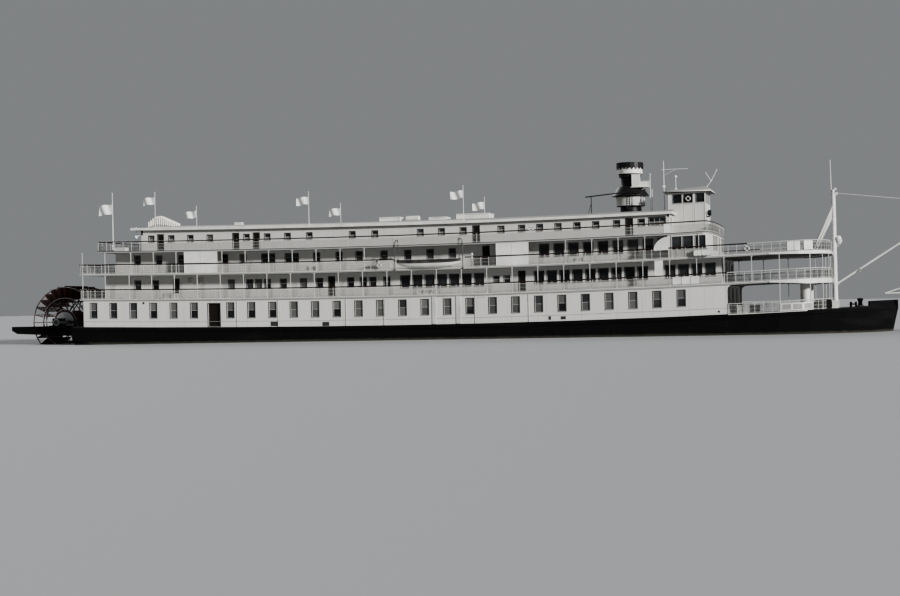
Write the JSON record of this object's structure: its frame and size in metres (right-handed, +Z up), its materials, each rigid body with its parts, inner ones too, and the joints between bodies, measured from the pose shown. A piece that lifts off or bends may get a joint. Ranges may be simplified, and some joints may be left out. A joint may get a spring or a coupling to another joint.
{
  "type": "stern-wheel paddle steamer, 1:10 scale model",
  "caption": "Four-deck stern-wheel river steamer with galleries, pilothouse, funnel, turning paddle wheel, rudders and a swinging landing stage, as a 1:10 scale model.",
  "frame": {"origin": "on the flat hull bottom, on the centre line, close to amidships", "axes": "+X towards the bow, +Y to port, +Z up"},
  "size_m": [9.894, 1.9, 1.84],
  "materials": {
    "black_hull": "satin",
    "white_house": "satin",
    "grey_deck": "matte",
    "roof": "matte",
    "white_rail": "satin",
    "funnel_black": "satin",
    "wheel_red": "satin",
    "iron": "satin",
    "dark_wood": "satin",
    "flag_cloth": "matte",
    "window_glass": "gloss"
  },
  "bodies": {
    "root": {"hull": "black_hull", "cylinder_beam_starboard": "black_hull", "cylinder_beam_port": "black_hull", "main_house_starboard": "white_house", "main_house_port": "white_house", "main_house_front": "white_house", "main_house_aft": "white_house", "cabin_2_starboard": "white_house", "cabin_2_port": "white_house", "cabin_2_front": "white_house", "cabin_2_aft": "white_house", "cabin_3_starboard": "white_house", "cabin_3_port": "white_house", "cabin_3_front": "white_house", "cabin_3_aft": "white_house", "texas_starboard": "white_house", "texas_port": "white_house", "texas_front": "white_house", "texas_aft": "white_house", "pilothouse_starboard": "white_house", "pilothouse_port": "white_house", "pilothouse_front": "white_house", "pilothouse_aft": "white_house", "deck_2": "grey_deck", "deck_3": "grey_deck", "deck_4": "grey_deck", "texas_roof": "roof", "pilothouse_roof": "roof", "railing_2_starboard": "white_rail", "railing_2_port": "white_rail", "railing_2_front": "white_rail", "railing_3_starboard": "white_rail", "railing_3_port": "white_rail", "railing_3_front": "white_rail", "railing_4_starboard": "white_rail", "railing_4_port": "white_rail", "railing_4_front": "white_rail", "foredeck_rail": "white_rail", "mast_starboard": "white_rail", "mast_port": "white_rail", "lifeboat_starboard": "white_rail", "lifeboat_port": "white_rail", "funnel": "funnel_black", "boilers": "iron", "flag_line_starboard": "flag_cloth", "flag_line_port": "flag_cloth", "stern_staff": "flag_cloth"},
    "paddle_wheel": {"paddle_shaft": "iron", "wheel_frame_starboard": "wheel_red", "wheel_frame_port": "wheel_red", "paddle_buckets": "wheel_red"},
    "pitman_starboard": {"pitman_starboard": "dark_wood"},
    "pitman_port": {"pitman_port": "dark_wood"},
    "rudder_centre": {"rudder_centre": "black_hull"},
    "rudder_starboard": {"rudder_starboard": "black_hull"},
    "rudder_port": {"rudder_port": "black_hull"},
    "stage_boom": {"stage_boom": "white_rail"},
    "landing_stage": {"landing_stage": "white_rail"},
    "cargo_door_starboard": {"cargo_door_starboard": "dark_wood"},
    "cargo_door_port": {"cargo_door_port": "dark_wood"}
  },
  "joints": [
    {"name": "wheel_turn", "type": "hinge", "parent": "root", "child": "paddle_wheel", "pos_m": [-4.24, 0, 0.442], "axis": [0, 1, 0], "continuous": true},
    {"name": "pitman_starboard_pin", "type": "hinge", "parent": "paddle_wheel", "child": "pitman_starboard", "pos_m": [-4.09, -0.445, 0.442], "axis": [0, 1, 0], "continuous": true},
    {"name": "pitman_port_pin", "type": "hinge", "parent": "paddle_wheel", "child": "pitman_port", "pos_m": [-4.09, 0.445, 0.442], "axis": [0, 1, 0], "continuous": true},
    {"name": "rudder_centre_turn", "type": "hinge", "parent": "root", "child": "rudder_centre", "pos_m": [-3.64, 0, 0.1], "axis": [0, 0, 1], "range_deg": [-35, 35]},
    {"name": "rudder_starboard_turn", "type": "hinge", "parent": "root", "child": "rudder_starboard", "pos_m": [-3.64, -0.24, 0.1], "axis": [0, 0, 1], "range_deg": [-35, 35]},
    {"name": "rudder_port_turn", "type": "hinge", "parent": "root", "child": "rudder_port", "pos_m": [-3.64, 0.24, 0.1], "axis": [0, 0, 1], "range_deg": [-35, 35]},
    {"name": "boom_swing", "type": "hinge", "parent": "root", "child": "stage_boom", "pos_m": [3.437, -0.3, 0.664], "axis": [0, 0, 1], "range_deg": [-90, 60]},
    {"name": "stage_tilt", "type": "hinge", "parent": "stage_boom", "child": "landing_stage", "pos_m": [4.484, -0.3, 1.328], "axis": [0, 1, 0], "range_deg": [-4, 10]},
    {"name": "cargo_door_starboard_slide", "type": "slide", "parent": "root", "child": "cargo_door_starboard", "axis": [-0.9999, 0, 0.0132], "range_m": [0, 0.115]},
    {"name": "cargo_door_port_slide", "type": "slide", "parent": "root", "child": "cargo_door_port", "axis": [-0.9999, 0, 0.0132], "range_m": [0, 0.115]}
  ],
  "couplings": [
    {"joint": "pitman_starboard_pin", "follows": "wheel_turn", "ratio": -1},
    {"joint": "pitman_port_pin", "follows": "wheel_turn", "ratio": -1},
    {"joint": "rudder_starboard_turn", "follows": "rudder_centre_turn", "ratio": 1},
    {"joint": "rudder_port_turn", "follows": "rudder_centre_turn", "ratio": 1}
  ]
}
